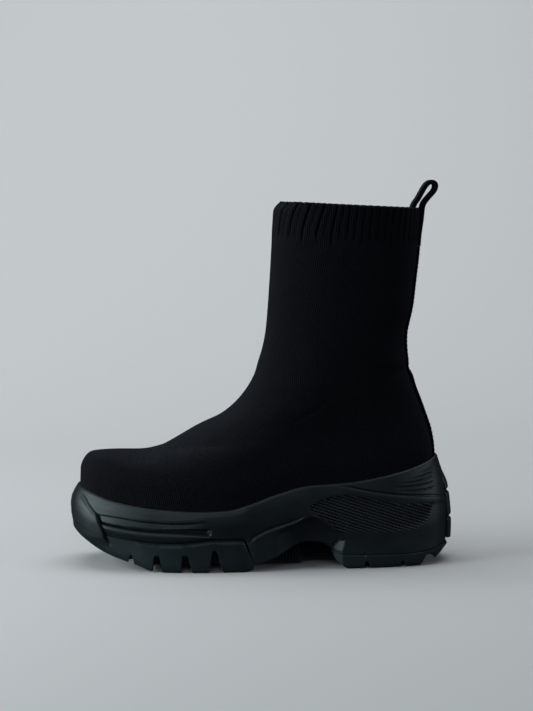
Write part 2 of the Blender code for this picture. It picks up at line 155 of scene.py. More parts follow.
def reach_along(points):
    """Return how far along a line each of its points lies."""
    return np.concatenate([[0.0], np.cumsum(np.linalg.norm(np.diff(points, axis=0), axis=1))])


def unit(vectors):
    """Return vectors brought to a length of 1."""
    return vectors / np.linalg.norm(vectors, axis=-1, keepdims=True)


def even_along(count):
    """Return count + 1 stations from toe to heel, evenly spaced on the rim's outer side."""
    turn = np.cos(np.linspace(0.0, math.pi, 6001))
    along = 0.5 + 0.5 * np.sign(turn) * np.abs(turn) ** (2.0 / LAST_SECTIONS[RIM][-1])
    reach = reach_along(last_point(RIM, along, -1.0)[:, :2])
    return np.interp(np.linspace(0.0, reach[-1], count + 1), reach, along)


def closed_ring(half_count):
    """Return along, side, plan points and outward plan normals of one turn round the rim.

    The turn starts at the toe, runs down the outer side to the heel and back along the inner
    side; its last station repeats its first.
    """
    half = even_along(half_count)
    along = np.concatenate([half, half[-2::-1]])
    side = np.concatenate([-np.ones(half_count), np.ones(half_count + 1)])
    plan = last_point(RIM, along, side)[:, :2]
    tangent = np.concatenate([plan[1:], plan[1:2]]) - np.concatenate([plan[-2:-1], plan[:-1]])
    return along, side, plan, unit(np.stack([tangent[:, 1], -tangent[:, 0]], axis=1))


def flare(rows, height, along):
    """Return how far a side of the sole stands out from the rim at a share of its height."""
    rows = np.array(rows)
    toe = ease(*TOE_FLARE, along)
    heel = ease(*HEEL_FLARE, along)
    at_toe, at_side, at_heel = (curve(rows[:, (0, k)])(height) for k in (1, 2, 3))
    return at_toe * toe + at_side * (1.0 - toe - heel) + at_heel * heel


# Lines of the mould's relief in side view, as (x, z) points, or (z, x) for those that stand
# upright.
bumper_line = curve((
    (16, -112.8), (20.2, -114.3), (25.7, -116.5), (29.9, -118.2), (34.7, -120.4), (40.7, -122.8),
    (43.3, -125.2), (46.4, -128.3), (51.1, -131.5), (54.5, -135),
))
sliver_line = curve(((40.2, -124), (43.6, -127.3), (48.8, -131.9), (52.8, -135.1)))
ledge_line = curve((
    (-123, 40.7), (-113, 39.9), (-100.8, 38.5), (-91.2, 37.4), (-81.5, 36.8), (-71.9, 36.4),
    (-59.9, 36.5), (-50.2, 37), (-36, 38.2),
))
recess_top = curve((
    (-121, 36.4), (-113, 35.1), (-100.9, 33.6), (-88.8, 32.7), (-76.7, 32.2), (-64.7, 32.5),
    (-52.7, 32.8), (-38, 32.4),
))
recess_foot = curve((
    (-121, 34.5), (-113, 33.1), (-100.9, 31.1), (-88.8, 29.9), (-76.7, 29.3), (-64.7, 29),
    (-52.7, 28.4), (-38, 27.2),
))
recess_deep = curve(((-121, 3.0), (-100, 3.6), (-75, 3.9), (-50, 4.0), (-38, 3.4)))
wedge_line = curve((
    (-13, 21.6), (-7.8, 25.2), (-0.4, 29), (6.9, 31.9), (16.8, 34.6), (24.2, 37.2), (30, 40.6),
))
panel_top = curve((
    (31.3, 46.1), (35.3, 49.1), (41.5, 52.2), (47.7, 54), (53.9, 55), (61.3, 55.4), (68.8, 54.4),
    (78.7, 52.2), (91.3, 49.6), (104, 47.5), (114.4, 47.1), (125.3, 46.9), (128.5, 45),
))
panel_foot = curve((
    (31.3, 46), (36.5, 41.1), (44, 35.9), (50.1, 31.1), (56.3, 25.3), (66.2, 24.3), (78.6, 24),
    (91.2, 24.2), (103.9, 24.8), (114.3, 27.2), (122.3, 32.6), (125.5, 39.6), (128.5, 45),
))
scoop_line = curve((
    (9, 31.4), (16.8, 34.2), (24.2, 37), (29.5, 39.3), (34, 40.4), (37, 39.9), (44, 35.9),
    (50.1, 31.1), (56.3, 25.5), (58.2, 20),
))
heel_line = curve((
    (50, 63.2), (56.5, 62), (63.9, 60.4), (72.6, 58.4), (81.3, 56.7), (91.4, 55), (101.5, 53.6),
    (111.9, 52.8), (124, 51.9), (136.8, 50),
))
flow_lines = (
    curve(((96, 56.4), (104.2, 56), (117.3, 56.3), (128.6, 58))),
    curve(((92, 59.2), (101.6, 59.1), (114.7, 59.9), (127.2, 61.8))),
    curve(((96, 61.7), (104.3, 62), (116.1, 63.2), (125.9, 65.6))),
    curve(((104, 64), (112.2, 65.1), (126, 68.6))),
    curve(((110, 67.4), (118, 69.2), (127, 72))),
)

# Where parts of the relief come in and go out again, and how far they stand out or lie in.
BUMPER_Z = (17.0, 25.0, 52.5, 55.0)
BUMPER_SWELL = 1.6
SLIVER_Z = (39.6, 41.4, 51.5, 53.5)
LEDGE_STEP = 1.1
LEDGE_RIDGE = 0.35
BAR_SWELL = 1.5
LUG_LINE_X = (-98.0, -88.0, -17.0, -12.5)
LUG_LINE_HALF_WIDTH = 1.8
LUG_LINE_DEPTH = 1.8
WEDGE_X = (-16.0, -9.0, 20.0, 31.0)
WEDGE_DEPTH = 1.2
SCOOP_X = (5.0, 22.0, 55.5, 58.2)
SCOOP_EDGE_X = (33.0, 38.0, 54.0, 59.0)
SCOOP_EDGE_DEPTH = 3.6
SCOOP_BOWL_DEPTH = 2.2
FACET_DEPTH = 5.6
PANEL_X = (31.3, 128.5)
PANEL_DEPTH = 0.9
FLOW_STARTS = (98.0, 93.0, 97.0, 104.0, 110.0)
FLOW_END = (124.0, 130.0)
HEEL_SLOT_X = 74.1
HEEL_SLOT_Z = (8.6, 9.4, 11.6, 12.4)
HEEL_BULGE = 1.9
HEEL_BULGE_Y = (31.0, 15.0)


def between(start, full, fade, end, value):
    """Rise smoothly from 0 at start to 1 at full, and fall from there at fade to 0 at end."""
    return ease(start, full, value) * ease(end, fade, value)


def crease(distance, half_width, depth):
    """Return a soft-edged groove, as an inward step at a distance from its line."""
    return -depth * ease(1.0, 0.0, np.abs(distance) / half_width)


def hump(distance, half_width):
    """Return a soft swelling of height 1 along its line."""
    return np.exp(-((distance / half_width) ** 2))


def side_relief(x, z):
    """Return how far the relief stands out from the plain side, and the ribbed panel's share."""
    off_bumper = 0.8 * (x - bumper_line(z))
    in_bumper = between(*BUMPER_Z, z)
    low_bumper = ease(43.0, 37.0, z)
    swell = BUMPER_SWELL * in_bumper * ease(54.0, 34.0, z) * ease(-143.0, -121.0, x)
    relief = swell * ease(0.7, -0.4, off_bumper)
    relief += in_bumper * crease(off_bumper - 0.4, 0.85 + 0.3 * low_bumper, 1.1 + 1.2 * low_bumper)
    relief += between(*SLIVER_Z, z) * crease(0.85 * (x - sliver_line(z)), 0.75, 0.6)

    behind = ease(0.0, 1.3, off_bumper) * ease(16.0, 22.0, z)
    off_ledge = z - ledge_line(x)
    strip = np.clip(-off_ledge / (ledge_line(x) - recess_top(x)), 0.0, 1.0)
    ledge = crease(off_ledge, 0.7, 1.0) - LEDGE_STEP * ease(0.0, 0.12, strip) * (1.0 - strip)
    ledge = ledge + LEDGE_RIDGE * hump(off_ledge - 2.2, 1.8)
    relief += behind * ease(-38.0, -60.0, x) * ledge
    bar_reach = behind * ease(-39.6, -42.0, x)
    under = (recess_top(x) - z) / (recess_top(x) - recess_foot(x))
    relief -= bar_reach * recess_deep(x) * between(-0.08, 0.12, 0.55, 1.08, under)
    bar = np.clip((recess_foot(x) - z) / (recess_foot(x) - parting_z(x)), 0.0, 1.0)
    relief += bar_reach * BAR_SWELL * np.sin(math.pi * bar**0.6)
    off_lugs = z - parting_z(x)
    lug_line = crease(off_lugs, LUG_LINE_HALF_WIDTH, LUG_LINE_DEPTH)
    relief += between(*LUG_LINE_X, x) * (lug_line + 0.5 * ease(-0.4, -2.4, off_lugs))

    off_wedge = z - wedge_line(x)
    above = np.exp(-np.clip(off_wedge, 0.0, None) / 6.0) * ease(-0.7, 0.4, off_wedge)
    wedge = crease(off_wedge - 1.0, 0.9, 0.6) + 0.3 * np.clip(-off_wedge / 12.0, 0.0, 1.0)
    relief += between(*WEDGE_X, x) * (wedge - WEDGE_DEPTH * above)

    off_scoop = 0.8 * (scoop_line(x) - z)
    scoop = SCOOP_EDGE_DEPTH * ease(0.0, 4.0, off_scoop)
    scoop = between(*SCOOP_X, x) * (scoop + SCOOP_BOWL_DEPTH * ease(2.0, 16.0, off_scoop))
    in_facet = ease(1.2, -0.6, z - 17.1 - 0.54 * (x - 49.0)) * ease(44.0, 46.0, x)
    facet = np.clip(57.3 - x + 0.25 * np.clip(z - 14.0, 0.0, None), 0.0, FACET_DEPTH)
    relief -= scoop * (1.0 - in_facet) + in_facet * facet
    relief += between(*SCOOP_EDGE_X, x) * 0.4 * hump(off_scoop, 1.2)

    inside = np.minimum(panel_top(x) - z, 0.8 * (z - panel_foot(x)))
    inside = np.where((x > PANEL_X[0]) & (x < PANEL_X[1]), inside, -1.0)
    low_fade = ease(0.5, 8.0, z - panel_foot(x))
    panel = ease(0.0, 0.9, inside) * np.where(x > 58.0, low_fade, 1.0)
    relief -= PANEL_DEPTH * panel
    off_heel = z - heel_line(x)
    lip = (1.0 - 0.6 * ease(104.0, 132.0, x)) * crease(off_heel, 0.8, 1.0)
    relief += ease(50.0, 66.0, x) * (lip + 0.4 * between(-7.0, -1.6, -1.6, -0.3, off_heel))
    for start, flow_z in zip(FLOW_STARTS, flow_lines):
        relief += between(start, start + 14.0, *FLOW_END, x) * crease(z - flow_z(x), 0.85, 0.7)
    relief += between(*HEEL_SLOT_Z, z) * crease(x - HEEL_SLOT_X, 0.7, 0.9)
    return relief, panel


def heel_bulge(height, along, y):
    """Return how much rounder the sole is behind the heel, at a share of its side's height."""
    behind_heel = ease(*HEEL_BULGE_Y, np.abs(y)) * np.where(along < 0.25, 1.0, 0.0)
    return HEEL_BULGE * behind_heel * ease(1.0, 0.7, height)


def drape(bm, points, spots=None, shares=None):
    """Add a grid laid on rows of points, with its spots on the cloth and named shares per point."""
    rows, columns = points.shape[:2]
    mesh = bpy.data.meshes.new("drape")
    flat = bmesh.new()
    bmesh.ops.create_grid(flat, x_segments=columns - 1, y_segments=rows - 1, size=1.0)
    flat.to_mesh(mesh)
    flat.free()
    mesh.vertices.foreach_set("co", ((points - ORIGIN) * MM).astype(np.float32).ravel())
    if spots is not None:
        corner = np.empty(len(mesh.loops), np.int32)
        mesh.loops.foreach_get("vertex_index", corner)
        layer = mesh.uv_layers.new(name="cloth")
        layer.data.foreach_set("uv", spots.reshape(-1, 2)[corner].astype(np.float32).ravel())
    for name, share in (shares or {}).items():
        layer = mesh.attributes.new(name, "FLOAT", "POINT")
        layer.data.foreach_set("value", share.astype(np.float32).ravel())
    bm.from_mesh(mesh)
    bpy.data.meshes.remove(mesh)


def close_up(bm, weld=0.01):
    """Merge what meets, cap what is open and turn the faces outwards."""
    bmesh.ops.remove_doubles(bm, verts=bm.verts, dist=weld * MM)
    bmesh.ops.dissolve_degenerate(bm, edges=bm.edges, dist=1e-7)
    rims = [edge for edge in bm.edges if edge.is_boundary]
    bmesh.ops.holes_fill(bm, edges=rims, sides=0)
    bmesh.ops.recalc_face_normals(bm, faces=bm.faces)


def finished(name, bm, finish, node, sharp=40.0):
    """Turn a bmesh into a piece that rides on the boot and stands for a node of the frame."""
    mesh = bpy.data.meshes.new(name)
    bm.to_mesh(mesh)
    bm.free()
    mesh.materials.append(finish)
    mesh.shade_smooth()
    mesh.set_sharp_from_angle(angle=math.radians(sharp))
    piece = bpy.data.objects.new(name, mesh)
    bpy.context.scene.collection.objects.link(piece)
    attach(piece, "root")
    if node:
        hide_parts(node)
    return piece


# Grooves across the tread: from x, flat top from and to, to x, height at the edge and in the
# middle of the tread, and how far from the middle line the deep part starts.
TREAD_GROOVES = (
    (-100.2, -97.9, -96.9, -95.0, 11.8, 6.0, 32.0),
    (-82.2, -80.4, -77.2, -74.8, 11.6, 0.8, 28.0),
    (-61.5, -60.5, -56.8, -53.0, 12.0, 1.2, 22.0),
    (-41.6, -38.3, -36.2, -30.4, 15.9, 1.4, 20.0),
    (73.0, 74.6, 76.2, 79.8, 5.0, 2.6, 18.0),
    (99.8, 101.6, 103.2, 106.6, 4.7, 2.6, 18.0),
    (115.2, 122.0, 125.6, 128.8, 8.0, 5.6, 18.0),
)
GROOVE_RAMP = 6.0
SIPE_LINES = (
    -132.0, -122.8, -113.6, -104.6, -88.6, -68.2, -47.3, -24.0, -15.0, 67.7, 85.4, 94.2, 110.9,
)
SIPE_HALF_WIDTH = 0.75
SIPE_DEPTH = 1.3
SIPE_WAVE = 15.0
SIPE_SWING = 4.2
SIPE_MARGIN = 9.0
TREAD_EDGE_ROUND = 1.3
OUTSOLE_SIDE = ((0.0, 3.0, 2.4, 7.6), (0.3, 5.4, 3.4, 9.2), (1.0, 6.9, 4.0, 9.9))
MIDSOLE_SIDE = (
    (0.0, 6.9, 4.0, 9.9),
    (0.28, 7.2, 4.8, 10.3),
    (0.5, 6.7, 5.2, 9.2),
    (0.8, 4.0, 4.4, 6.0),
    (0.95, 2.2, 3.2, 4.2),
    (1.0, 1.8, 2.6, 3.6),
)
TAIL_PROUD = 2.4
TAIL_HALF_WIDTH = 11.0
TAIL_TOP = 70.0
TAIL_EDGE_ROUND = 1.8
TAIL_LEAST = 0.6
TAIL_NOTCHES = ((53.0, 2.2, 2.2), (33.5, 2.2, 2.2))
TAIL_FOOT_NOTCH = (16.8, 3.2, 4.0)
TAIL_ROWS = 96
LUG_SIDE_ROWS = 22
TREAD_COLUMNS = 96
TIP_BOW = 1.5
BOW_RISE = 12.0
BOW_FADE = (60.0, 20.0)
FOREFOOT_END = ((0.0, -8.2), (3.8, -8.4), (11.3, -10.0), (17.0, -12.4), (24.0, -14.0))
HEEL_BREAST = (
    (0.0, 62.4), (0.6, 60.4), (1.6, 58.6), (3.2, 56.6), (7.0, 52.4), (12.0, 50.4), (16.5, 49.6),
)
BLEND_STATIONS = 20
HEEL_LINE_ROUND = 0.35


def parting_gap(x):
    """Return the gap between tread and midsole: none at the forefoot, a fine line at the heel."""
    return 0.02 + 0.08 * ease(48.0, 58.0, x)


def rounding(from_edge, radius, share=1.0):
    """Return how far a rounded edge falls back at a distance from its corner."""
    over = np.clip(1.0 - from_edge / radius, 0.0, 1.0) * share
    return radius * (1.0 - np.sqrt(1.0 - over**2))


def tread_z(x, y, half):
    """Return the height of the tread's face; half is half the tread's width there."""
    across = np.abs(y)
    sipe_place = x + SIPE_SWING * (np.abs(2.0 * ((y / SIPE_WAVE) % 1.0) - 1.0) - 0.5)
    off_sipe = np.min(np.abs(sipe_place[..., None] - SIPE_LINES), axis=-1)
    sipe = ease(SIPE_HALF_WIDTH * 1.4, SIPE_HALF_WIDTH * 0.6, off_sipe)
    sipe_end = half - SIPE_MARGIN
    height = ground_z(x) + SIPE_DEPTH * sipe * ease(sipe_end, sipe_end - 1.0, across)
    for low, top_low, top_high, high, edge_z, middle_z, inner_y in TREAD_GROOVES:
        ceiling = middle_z + (edge_z - middle_z) * ease(inner_y - GROOVE_RAMP, inner_y, across)
        depth = (ceiling - ground_z(x)) * between(low, top_low, top_high, high, x)
        height = np.maximum(height, ground_z(x) + depth)
    return height


def add_pad(bm, stations, ring, leading, trailing):
    """Add one pad of the tread: both sides, the lugged face and a plain top."""
    along, _, plan, out = ring
    count = len(along) - 1
    from_start = np.arange(len(stations))
    share = np.linspace(1.0, 0.0, LUG_SIDE_ROWS + 1)[:, None] ** 1.25
    notch_z, half_height, deep = TAIL_FOOT_NOTCH
    halves = []
    for index in (stations, count - stations):
        edge, normal, place = plan[index], out[index], along[index]
        off_middle = np.abs(edge[:, 1])
        tail = TAIL_PROUD * ease(TAIL_HALF_WIDTH + 0.5, TAIL_HALF_WIDTH - 2.5, off_middle)
        tail = np.where(place < 0.2, tail, 0.0) + heel_bulge(0.0, place, edge[:, 1])
        lowest = edge + normal * (flare(OUTSOLE_SIDE, 0.0, place) + tail)[:, None]
        x = np.repeat(lowest[None, :, 0], len(share), axis=0)
        for _ in range(3):
            lowest_z = tread_z(x[-1], lowest[:, 1], np.abs(lowest[:, 1]))
            top_z = parting_z(x) - parting_gap(x)
            z = lowest_z + (top_z - lowest_z) * share
            rise = np.clip((z - ground_z(x)) / (top_z - ground_z(x) + 1e-9), 0.0, 1.0)
            inset = rounding(z - lowest_z, TREAD_EDGE_ROUND)
            inset = inset + rounding(top_z - z, HEEL_LINE_ROUND, ease(54.0, 60.0, x))
            notch = np.clip(1.0 - np.abs(z - notch_z) / half_height, 0.0, 1.0)
            inset = inset + deep * np.minimum(tail, 1.0) * notch
            stand = flare(OUTSOLE_SIDE, rise, place) + tail - inset
            stand = stand + side_relief(x, z)[0] * ease(0.0, 2.0, z - lowest_z)
            x = edge[:, 0] + normal[:, 0] * stand
            ends = ((leading, 0, from_start), (trailing, -1, from_start[::-1]))
            for line, end, from_end in ends:
                if line:
                    pull = curve(line)(z) - x[0, end]
                    x = x + pull * ease(BLEND_STATIONS, 0.0, from_end)
        y = edge[:, 1] + normal[:, 1] * stand
        halves.append(np.stack([x, y, z], axis=-1))
    outer, inner = halves
    t = np.linspace(0.0, 1.0, TREAD_COLUMNS + 1)[1:-1, None, None]
    face = outer[-1] * (1.0 - t) + inner[-1] * t
    from_tip = np.minimum(stations, count // 2 - stations)
    bow = TIP_BOW * np.clip(from_tip / BOW_RISE, 0.0, 1.0) * ease(*BOW_FADE, from_tip)
    bow = np.where(stations < count // 4, bow, -bow)
    face[:, :, 0] += bow * 4.0 * t[:, :, 0] * (1.0 - t[:, :, 0])
    half = np.abs(outer[-1][:, 1] - inner[-1][:, 1])[None, :] / 2.0
    middle = (outer[-1][:, 1] + inner[-1][:, 1])[None, :] / 2.0
    face[:, :, 2] = tread_z(face[:, :, 0], face[:, :, 1] - middle, half)
    drape(bm, np.concatenate([outer, face, inner[::-1], outer[:1]]))


def add_tail(bm, ring):
    """Add the strip of rubber up the back of the heel, notched across."""
    along, _, plan, out = ring
    near = np.where((along < 0.14) & (np.abs(plan[:, 1]) < TAIL_HALF_WIDTH + 3.0))[0]
    near = near[np.argsort(plan[near, 1])]
    flat = TAIL_HALF_WIDTH - TAIL_EDGE_ROUND
    turned = TAIL_EDGE_ROUND * (1.0 - np.cos(np.linspace(0.0, math.pi / 2.0, 6)))[:-1]
    across = np.concatenate(
        [turned - TAIL_HALF_WIDTH, np.linspace(-flat, flat, 41), TAIL_HALF_WIDTH - turned[::-1]]
    )
    edge_x, out_x, out_y, place = (
        np.interp(across, plan[near, 1], values[near])
        for values in (plan[:, 0], out[:, 0], out[:, 1], along)
    )
    edge = np.stack([edge_x, across], axis=1)
    normal = unit(np.stack([out_x, out_y], axis=1))
    inset = rounding(TAIL_HALF_WIDTH - np.abs(across), TAIL_EDGE_ROUND)
    low = parting_z(edge_x)
    loops = []
    for z in np.linspace(parting_z(140.0) - 1.5, TAIL_TOP, TAIL_ROWS):
        height = np.clip((z - low) / (rim_z(edge_x) - low), 0.0, 1.0)
        side = flare(MIDSOLE_SIDE, height, place) + heel_bulge(height, place, across)
        proud = TAIL_PROUD * (1.0 - 0.72 * ease(TAIL_TOP - 13.0, TAIL_TOP, z)) - inset
        for notch_z, half_height, depth in TAIL_NOTCHES:
            proud = proud - depth * np.clip(1.0 - abs(z - notch_z) / half_height, 0.0, 1.0)
        skin, seat = (
            np.column_stack([edge + normal * stand[:, None], np.full(len(across), z)])
            for stand in (side + np.maximum(proud, TAIL_LEAST), side + SEAT_GAP)
        )
        loops.append(np.concatenate([skin, seat[::-1], skin[:1]]))
    drape(bm, np.array(loops))


SHANK_HALF_WIDTH = 22.0
SHANK_FRONT = -7.4
SHANK_BACK = 53.0
SHANK_STEP = 11.0
SHANK_STEP_X = (27.0, 31.0)
TOOTH_PITCH = 2.3
TOOTH_DEPTH = 1.1
BAR_PITCH = 6.9
BAR_HEIGHT = 0.9
LEAST_DEPTH = 0.4


def add_shank(bm):
    """Add the rib under the waist, with upright teeth down its sides and bars across its face."""
    x = np.arange(SHANK_FRONT, SHANK_BACK, TOOTH_PITCH / 6.0)
    tooth = TOOTH_DEPTH * (0.5 + 0.5 * np.cos(2.0 * math.pi * x / TOOTH_PITCH))
    bar = BAR_HEIGHT * ease(0.2, 0.5, np.abs((x / BAR_PITCH) % 1.0 - 0.5))
    half = SHANK_HALF_WIDTH - tooth - SHANK_STEP * ease(*SHANK_STEP_X, x)
    top = parting_z(x) - SEAT_GAP
    low = np.minimum(ground_z(x) + 0.2, top - LEAST_DEPTH)
    low_inner = np.minimum(low + bar, top - LEAST_DEPTH)
    corners = ((-half, top), (-half, low + 1.0), (-half + 1.0, low), (-half + 5.0, low_inner))
    corners = corners + tuple((-y, z) for y, z in reversed(corners)) + corners[:1]
    drape(bm, np.array([np.stack([x, y, z], axis=1) for y, z in corners]))


def blank(name):
    """Return a new material, its node tree and its shader."""
    made = bpy.data.materials.new(name)
    made.use_nodes = True
    return made, made.node_tree, made.node_tree.nodes["Principled BSDF"]


def feed(tree, node, inputs):
    """Set a node's inputs, each to a value or to another node's output."""
    for name, value in inputs.items():
        if isinstance(value, bpy.types.NodeSocket):
            tree.links.new(value, node.inputs[name])
        else:
            node.inputs[name].default_value = value


def add_node(tree, kind, inputs, **settings):
    """Add a shader node with its settings and inputs."""
    node = tree.nodes.new("ShaderNode" + kind)
    for name, value in settings.items():
        setattr(node, name, value)
    feed(tree, node, inputs)
    return node


def noise(tree, place, scale, detail, roughness=0.5):
    """Return a noise that lies in the boot's own space."""
    inputs = {"Vector": place, "Scale": scale, "Detail": detail, "Roughness": roughness}
    return add_node(tree, "TexNoise", inputs).outputs["Fac"]


def bump(tree, height, strength, distance, under=None):
    """Return the normals of a bump, laid over those of another where one is given."""
    inputs = {"Height": height, "Strength": strength, "Distance": distance}
    if under is not None:
        inputs["Normal"] = under
    return add_node(tree, "Bump", inputs).outputs["Normal"]


def rubber(name, colour, roughness, grain, scratch):
    """Return moulded black rubber or foam: a fine grain, soft mottling and worn, duller patches."""
    made, tree, shader = blank(name)
    place = tree.nodes.new("ShaderNodeTexCoord").outputs["Object"]
    cloud = noise(tree, place, 46.0, 6.0, 0.62)
    tint = add_node(tree, "ValToRGB", {"Fac": cloud})
    for stop, position, share in zip(tint.color_ramp.elements, (0.3, 0.72), (0.82, 1.2)):
        stop.position = position
        stop.color = (*(c * share for c in colour), 1.0)
    # Colour made lighter towards the bottom: 1.9 times below a height of 8 mm, easing to 0.9 times
    # above 34 mm.
    height = add_node(tree, "SeparateXYZ", {"Vector": place}).outputs["Z"]
    reach = {"From Min": 0.034, "From Max": 0.008, "To Min": 0.9, "To Max": 1.9}
    low_lift = add_node(tree, "MapRange", {"Value": height, **reach}, interpolation_type="SMOOTHSTEP")
    low_lifted = {"Vector": tint.outputs["Color"], "Scale": low_lift.outputs["Result"]}
    low_lifted = add_node(tree, "VectorMath", low_lifted, operation="SCALE")
    reach = {"From Min": 0.3, "From Max": 0.7}
    reach.update({"To Min": roughness - 0.05, "To Max": roughness + 0.08})
    dull = add_node(tree, "MapRange", {"Value": cloud, **reach})
    pores = bump(tree, noise(tree, place, 2400.0, 3.0), grain, 0.0002)
    ripple = noise(tree, place, 210.0, 4.0)
    finish = {
        "Base Color": low_lifted.outputs["Vector"],
        "Roughness": dull.outputs["Result"],
        "Normal": bump(tree, ripple, scratch, 0.0004, pores),
        "Specular IOR Level": 0.5,
        "Specular Tint": (0.78, 0.95, 1.0, 1.0),
    }
    feed(tree, shader, finish)
    return made


SOLE_STATIONS = 440
FOREFOOT_TO = -8.2
HEEL_FROM = 56.0
sole_ring = closed_ring(SOLE_STATIONS)
station_x = sole_ring[2][: SOLE_STATIONS + 1, 0]
bm = bmesh.new()
add_pad(bm, np.where(station_x < FOREFOOT_TO)[0], sole_ring, None, FOREFOOT_END)
add_pad(bm, np.where(station_x > HEEL_FROM)[0], sole_ring, HEEL_BREAST, None)
add_shank(bm)
add_tail(bm, sole_ring)
close_up(bm, weld=0.002)
OUTSOLE_BLACK = (0.0080, 0.0128, 0.0155)
outsole_rubber = rubber("black rubber", OUTSOLE_BLACK, roughness=0.45, grain=0.26, scratch=0.15)
finished("outsole.rubber", bm, outsole_rubber, "outsole", sharp=34.0)

# Midsole: a deep platform of black foam with a satin moulded skin. Its side carries the mould's
# relief: a toe bumper, a long bar over the lugs, a wedge at the arch and a ribbed heel panel.
RING_COLUMNS = 420
SIDE_ROWS = 100
ARCH_EDGE_ROUND = 1.5
LIP_ROUND = 1.5
CUP_LEVELS = (RIM, 0.6, 0.3, 0.0)
ring_along, ring_side, ring_plan, ring_out = closed_ring(RING_COLUMNS)
height = np.linspace(0.0, 1.0, SIDE_ROWS + 1)[:, None]
stand = flare(MIDSOLE_SIDE, height, ring_along)
stand = stand + heel_bulge(height, ring_along, ring_plan[:, 1])
side_x = ring_plan[:, 0] + ring_out[:, 0] * stand
low_z, high_z = parting_z(side_x), rim_z(side_x)
side_z = low_z + (high_z - low_z) * height
relief, panel_share = side_relief(side_x, side_z)
in_arch = ease(-14.0, -8.0, side_x) * (1.0 - 0.8 * ease(50.0, 58.0, side_x))
relief = relief - rounding(side_z - low_z, 0.05 + ARCH_EDGE_ROUND * in_arch)
relief = relief - rounding(high_z - side_z, LIP_ROUND)
side_plan = ring_plan + ring_out * (stand + relief)[:, :, None]
side_rows = np.concatenate([side_plan, side_z[:, :, None]], axis=-1)


def to_middle(row):
    """Return a row of a closed ring drawn in to the middle line of the boot."""
    return (row + row[::-1]) / 2.0


bottom_rows = [to_middle(side_rows[0]), (side_rows[0] + to_middle(side_rows[0])) / 2.0]
for row in bottom_rows:
    row[:, 2] = parting_z(row[:, 0])
cup_rows = [last_point(level, ring_along, ring_side) for level in CUP_LEVELS]
for row in cup_rows:
    row[:, :2] += ring_out * SEAT_GAP
cup_rows[-1][:, 2] -= SEAT_GAP
floor_row = to_middle(cup_rows[-1])
floor_row[:, 2] = footbed_z(floor_row[:, 0])
midsole_rows = np.concatenate([bottom_rows, side_rows, cup_rows, [floor_row]])
panel_rows = np.zeros(midsole_rows.shape[:2])
panel_rows[len(bottom_rows) : len(bottom_rows) + len(side_rows)] = panel_share
bm = bmesh.new()
drape(bm, midsole_rows, shares={"panel": panel_rows})
close_up(bm)

PANEL_PITCH = 0.0022
PANEL_CHAIN = 0.0030
PANEL_SLANT = math.radians(19.0)
PANEL_RIB = 0.0010
PANEL_PAINTED_SHADE = 0.55


def maths(tree, operation, first, second=None):
    """Add a Math node and return its output; each input is a number or another node's output."""
    inputs = {0: first} if second is None else {0: first, 1: second}
    return add_node(tree, "Math", inputs, operation=operation).outputs["Value"]


def mixture(tree, first, first_share, second, second_share):
    """Return the sum of two outputs, each by its share."""
    first = maths(tree, "MULTIPLY", first, first_share)
    return maths(tree, "ADD", first, maths(tree, "MULTIPLY", second, second_share))


def crests(tree, place, pitch):
    """Return a row of round crests, one to a pitch."""
    turn = maths(tree, "MULTIPLY", place, math.pi / pitch)
    return maths(tree, "ABSOLUTE", maths(tree, "SINE", turn))


FOAM_BLACK = (0.0082, 0.0122, 0.0152)
foam = rubber("black foam skin", FOAM_BLACK, roughness=0.43, grain=0.22, scratch=0.14)
tree = foam.node_tree
shader = tree.nodes["Principled BSDF"]
plain_colour = shader.inputs["Base Color"].links[0].from_socket
plain_normal = shader.inputs["Normal"].links[0].from_socket
place = tree.nodes.new("ShaderNodeTexCoord").outputs["Object"]
spot = add_node(tree, "SeparateXYZ", {"Vector": place}).outputs
level_share, rise_share = math.cos(PANEL_SLANT), math.sin(PANEL_SLANT)
along_rows = mixture(tree, spot["X"], level_share, spot["Z"], -rise_share)
across_rows = mixture(tree, spot["X"], rise_share, spot["Z"], level_share)
row = crests(tree, across_rows, PANEL_PITCH)
link_place = maths(tree, "ADD", maths(tree, "MULTIPLY", across_rows, 0.7), along_rows)
rib = mixture(tree, row, 0.72, crests(tree, link_place, PANEL_CHAIN), 0.28)
panel = add_node(tree, "Attribute", {}, attribute_name="panel").outputs["Fac"]
ribbed = bump(tree, maths(tree, "MULTIPLY", rib, panel), 1.0, PANEL_RIB, plain_normal)
# Painted shade: the ribbed panel's colour is darkened in proportion to its share, standing for the
# shade in its ribbing.
lit = maths(tree, "SUBTRACT", 1.0, maths(tree, "MULTIPLY", panel, PANEL_PAINTED_SHADE))
shaded = add_node(tree, "VectorMath", {"Vector": plain_colour, "Scale": lit}, operation="SCALE")
feed(tree, shader, {"Base Color": shaded.outputs["Vector"], "Normal": ribbed})
finished("midsole.foam", bm, foam, "midsole", sharp=60.0)

# Insole: a thin sheet of foam faced with black twill, laid on the footbed inside the knitted
# upper. Only its face shows, down the shaft.
INSOLE_STATIONS = 150
INSOLE_INSET = 3.1
INSOLE_SIDE = ((0.0, 0.0), (0.0, 1.6), (0.0, 3.2), (0.1, 3.6), (0.35, 3.88), (0.8, 4.0))
INSOLE_FACE = (0.3, 0.6, 0.85, 1.0)
insole_along, insole_side, _, insole_out = closed_ring(INSOLE_STATIONS)
insole_edge = last_point(0.0, insole_along, insole_side)
insole_rows = []
for inset, rise in INSOLE_SIDE:
    row = insole_edge.copy()
    row[:, :2] -= insole_out * (INSOLE_INSET + inset)
    row[:, 2] = footbed_z(row[:, 0]) + SEAT_GAP + rise
    insole_rows.append(row)
underside, top_edge = to_middle(insole_rows[0]), insole_rows[-1]
for share in INSOLE_FACE:
    row = top_edge * (1.0 - share) + to_middle(top_edge) * share
    row[:, 2] = footbed_z(row[:, 0]) + SEAT_GAP + INSOLE_SIDE[-1][1]
    insole_rows.append(row)
insole_rows = np.array([underside, *insole_rows])
bm = bmesh.new()
drape(bm, insole_rows, spots=insole_rows[:, :, :2])
close_up(bm)

GROOVE_PAINTED_SHADE = 0.75


